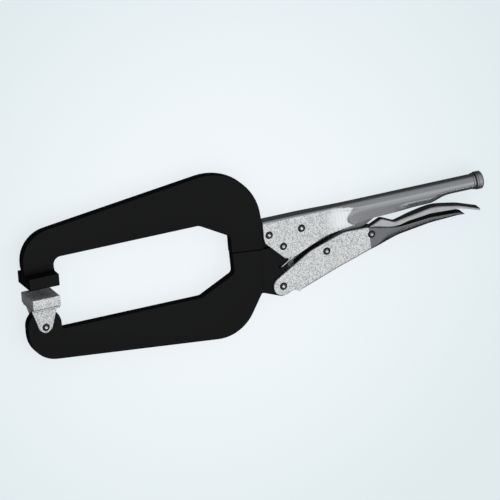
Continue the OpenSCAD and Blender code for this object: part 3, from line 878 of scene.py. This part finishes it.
release_x = ([release_low.x + 0.02 + 1.1 * i for i in range(42)] + [x for x, _ in top_guide]
             + [release.x + 35 + 1.5 * i for i in range(40)])
release_x = spaced([x for x in release_x if x < release_high.x - 0.3], 0.2)
release_x.append(release_high.x - 0.02)
release_bm = pressed_sheet([release_row(x) for x in release_x])
release_chrome = Finish("release_polished_plate", Metallic=1.0)
haze = release_chrome.noise(90.0, 4.0, 0.6)
hair = release_chrome.noise(1.0, 2.0, 0.6, release_chrome.stretched((60.0, 2500.0, 2500.0)))
release_chrome = release_chrome.wear(
    Base_Color=release_chrome.mix(haze, (0.24, 0.243, 0.25), (0.42, 0.423, 0.43)),
    Roughness=0.07 + haze * 0.10 + hair * 0.06,
    Normal=release_chrome.relief(hair, 0.000012))
finish_piece(release_bm, "release_lever_stamping", "release",
             [release_chrome, inside_painted_shade], ["release_lever"])

# ---------------------------------------------------------------------------------------------
# Adjusting screw. A rolled M8 thread in the plug of the tube's end, with a plain turned nose in
# front that faces the link, and a knurled knob pressed on behind.
nose_low, nose_high = limits("screw_nose")
screw_low, screw_high = limits("adjusting_screw")
knob_low, knob_high = limits("adjusting_knob")
lead = 1.25
turn_steps = 28
nose_bm = turned([(nose_low.x, 0), (nose_low.x, 2.0), (nose_low.x + 0.9, 2.9),
                  (nose_low.x + 1.2, 3.0), (nose_high.x, 3.0), (nose_high.x, 0)])
screw_steel = Finish("screw_rolled_steel", Metallic=1.0)
wiped = screw_steel.noise(500.0, 4.0, 0.6)
screw_steel = screw_steel.wear(
    Base_Color=screw_steel.mix(wiped, (0.30, 0.30, 0.31), (0.52, 0.525, 0.53)),
    Roughness=0.22 + wiped * 0.2, Normal=screw_steel.relief(wiped, 0.00004))
finish_piece(nose_bm, "screw_nose_turned", "screw_slider", [screw_steel],
             ["screw_nose"])
core = turned([(screw_low.x, 0), (screw_low.x, 3.0), (screw_low.x + 0.5, 3.25),
               (screw_high.x, 3.25), (screw_high.x, 0)])
thread = bmesh.new()
ridge = [thread.verts.new((screw_low.x + 0.6 + dx, axis_y + r, 0))
         for dx, r in ((0, 3.2), (0.48, 3.94), (0.62, 3.94), (1.1, 3.2))]
ridge_edges = [thread.edges.new(pair) for pair in zip(ridge, ridge[1:])]
turns = int((screw_high.x - screw_low.x - 2.2) / lead)
bmesh.ops.spin(thread, geom=ridge + ridge_edges, cent=(0, axis_y, 0), axis=(1, 0, 0),
               dvec=(lead / turn_steps, 0, 0), angle=math.tau * turns, steps=turn_steps * turns,
               use_merge=False)
turn_smooth(thread)
join(core, thread)
finish_piece(core, "adjusting_screw_thread", "screw", [screw_steel],
             ["adjusting_screw"], crease=30)
k0, k1 = knob_low.x, knob_high.x
rim_r = knob_high.y - axis_y
knob_bm = turned([(k0, 0), (k0, rim_r - 0.6), (k0 + 0.4, rim_r - 0.05), (k0 + 1.3, rim_r - 0.05),
                  (k0 + 1.5, rim_r - 0.45), (k0 + 1.8, rim_r - 0.45), (k0 + 2.0, rim_r - 0.05),
                  (k1 - 1.2, rim_r - 0.05), (k1 - 0.5, rim_r - 0.7), (k1 - 0.1, rim_r - 1.3),
                  (k1, rim_r - 1.8), (k1, 0)], 96)
knurl = [f for f in knob_bm.faces
         if all(abs(math.hypot(v.co.y - axis_y, v.co.z) - rim_r + 0.05) < 0.03 for v in f.verts)]
cut = [f for f in knurl
       if int((math.atan2(f.calc_center_median().y - axis_y, f.calc_center_median().z)
               + math.pi) / math.tau * 96) % 2]
bmesh.ops.inset_individual(knob_bm, faces=cut, thickness=0.08, depth=-0.22)
knob_steel = Finish("knob_knurled_steel", Metallic=1.0)
grime = knob_steel.noise(650.0, 4.0, 0.7)
knob_steel = knob_steel.wear(
    Base_Color=knob_steel.mix(grime, (0.22, 0.22, 0.23), (0.46, 0.465, 0.47)),
    Roughness=0.30 + grime * 0.2, Normal=knob_steel.relief(grime, 0.00006))
finish_piece(knob_bm, "adjusting_knob_knurled", "screw", [knob_steel],
             ["adjusting_knob"], crease=28)

# ---------------------------------------------------------------------------------------------
# Return spring. Close-wound spring wire with a hook at each end, one through the hole in the
# lower jaw's tang and one through the tab under the upper handle's back.
hook_a = Vector((hook_hole[0], hook_hole[1], 0))
hook_b = Vector((tab_x, tab_y, 0))
way = (hook_b - hook_a).normalized()
reach = (hook_b - hook_a).length
lift = way.cross(Vector((0, 0, 1)))
wire, coil = 0.58, 2.0
coil_from, coil_to = 17.2, reach - 12.2
pitch = 1.28
loops = int((coil_to - coil_from) / pitch)
route = [(0, -4.2, 0), (0, 0, 0), (0, 3.4, 0), (0.9, 4.15, 0), (4.5, 4.2, 0), (8.6, 4.1, 0),
         (13.5, 2.6, 0), (16.4, 2.1, 0.2)]
for i in range(loops * 16 + 1):
    a = math.tau * i / 16
    route.append((coil_from + (coil_to - coil_from) * i / (loops * 16),
                  coil * math.cos(a), coil * math.sin(a)))
route += [(reach - 11.4, 1.9, 0), (reach - 8, 1.7, 0), (reach - 3.2, 2.0, 0), (reach - 0.8, 2.0, 0),
          (reach, 1.3, 0), (reach, -2.0, 0)]
curve = bpy.data.curves.new("return_spring_wire", "CURVE")
curve.dimensions = "3D"
curve.bevel_depth = wire * mm
curve.bevel_resolution = 2
curve.use_fill_caps = True
spline = curve.splines.new("POLY")
spline.points.add(len(route) - 1)
for point, (d, z, s) in zip(spline.points, route):
    place = (hook_a + way * d + lift * s + Vector((0, 0, z))) * mm
    point.co = (*place, 1)
drawn_wire = bpy.data.objects.new("return_spring_drawn", curve)
scene.collection.objects.link(drawn_wire)
spring_mesh = bpy.data.meshes.new_from_object(drawn_wire)
bpy.data.objects.remove(drawn_wire)
spring = bpy.data.objects.new("return_spring_coil", spring_mesh)
scene.collection.objects.link(spring)
spring_mesh.polygons.foreach_set("use_smooth", [True] * len(spring_mesh.polygons))
spring_wire = Finish("spring_drawn_wire", Metallic=1.0)
oil = spring_wire.noise(800.0, 3.0, 0.6)
spring_mesh.materials.clear()
spring_mesh.materials.append(spring_wire.wear(
    Base_Color=spring_wire.mix(oil, (0.40, 0.40, 0.41), (0.62, 0.62, 0.63)),
    Roughness=0.18 + oil * 0.2, Normal=spring_wire.relief(oil, 0.00003)))
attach(spring, "frame")
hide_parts("return_spring")
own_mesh(spring)

# ---------------------------------------------------------------------------------------------
# Bench, light and camera. The tool lies on its side on a pale bench that mirrors dark, under a wide
# soft light, a weak fill and a small lamp along the tube. A long lens keeps it nearly parallel.
floor_z = cad_box[0].z - 0.0003
bench = bmesh.new()
bmesh.ops.create_grid(bench, x_segments=2, y_segments=2, size=3.0)
bmesh.ops.translate(bench, vec=(0.2, 0, floor_z), verts=bench.verts)
bench_mesh = bpy.data.meshes.new("bench")
bench.to_mesh(bench_mesh)
bench.free()
bench_top = bpy.data.objects.new("bench", bench_mesh)
scene.collection.objects.link(bench_top)
bench_paint = Finish("bench_pale", Roughness=0.8, Specular_IOR_Level=0.2, Emission_Strength=1.0)
mottle = bench_paint.noise(3.0, 2.0, 0.5)
# The bench glows by itself, brighter round the tool and dimmer outwards: a painted pool of light that also
# thins the tool's shadows on it.
spread = bench_paint.node("ShaderNodeVectorMath", {"operation": "DISTANCE"},
                          {"Vector": bench_paint.place(), "Vector_001": (0.16, 0.0, floor_z)}, "Value")
dim = bench_paint.between(spread, 0.06, 0.32)
bench_light_pool = bench_paint.mix(dim, (0.745, 0.79, 0.82), (0.62, 0.69, 0.705))
bench_tone = bench_paint.mix(mottle, (0.17, 0.175, 0.18), (0.19, 0.195, 0.20))
bench_mesh.materials.append(bench_paint.wear(Base_Color=bench_tone, Emission_Color=bench_light_pool))
flag = bench_paint.node("ShaderNodeEmission", None, {"Color": (0.03, 0.031, 0.033), "Strength": 1.0})
seen = bench_paint.node("ShaderNodeLightPath", output="Is Glossy Ray")
blend = bench_paint.node("ShaderNodeMixShader", None,
                         {"Fac": seen, "Shader": Wire(bench_paint, bench_paint.shader.outputs[0]),
                          "Shader_001": flag})
bench_paint.tree.links.new(blend.socket, bench_paint.tree.nodes["Material Output"].inputs["Surface"])

world = bpy.data.worlds.new("studio")
scene.world = world
world.use_nodes = True
sky = Nodes(world.node_tree)
height = sky.node("ShaderNodeVectorMath", {"operation": "DOT_PRODUCT"},
                  {"Vector": sky.node("ShaderNodeTexCoord", output="Generated"),
                   "Vector_001": (0, 0.4, 1)}, "Value")
shade = sky.node("ShaderNodeValToRGB",
                 {"stops": ((0.04, (0.10, 0.105, 0.11)), (0.35, (0.34, 0.355, 0.37)),
                            (0.80, (0.95, 0.98, 1.0)))}, {"Fac": height}, "Color")
backdrop = sky.tree.nodes["Background"]
sky.feed(backdrop.inputs["Color"], shade)
backdrop.inputs["Strength"].default_value = 0.8

aim = Vector((0.18132, -0.01058, 0))
right = Vector((0.9201, -0.0767, 0.383)).normalized()
towards = right.cross(Vector((0.2040, 0.9324, -0.2995))).normalized()
up = towards.cross(right)


def soft_light(name, way, distance, size, power):
    """Round lamp that shines at the tool from a distance along the given way."""
    light = bpy.data.lights.new(name, "AREA")
    light.shape = "DISK"
    light.size = size
    light.energy = power
    lamp = bpy.data.objects.new(name, light)
    way_out = Vector(way).normalized()
    lamp.location = aim + way_out * distance
    lamp.rotation_euler = way_out.to_track_quat("Z", "Y").to_euler()
    scene.collection.objects.link(lamp)


soft_light("key", (0.33, -0.35, 0.87), 2.4, 2.6, 9)
soft_light("fill", (-0.7, 0.5, 0.6), 1.8, 1.2, 1)
soft_light("strip", (0.42, -0.80, 0.43), 1.4, 0.16, 0.3)

camera_data = bpy.data.cameras.new("camera")
camera_data.lens = 1000
camera_data.sensor_width = 36
camera_data.clip_start, camera_data.clip_end = 1, 30
view_width = 0.4
camera_away = view_width * camera_data.lens / camera_data.sensor_width
camera = bpy.data.objects.new("camera", camera_data)
facing = Matrix((right, up, towards)).transposed()
camera.matrix_world = Matrix.Translation(aim + towards * camera_away) @ facing.to_4x4()
scene.collection.objects.link(camera)
scene.camera = camera
scene.view_settings.view_transform = "Standard"
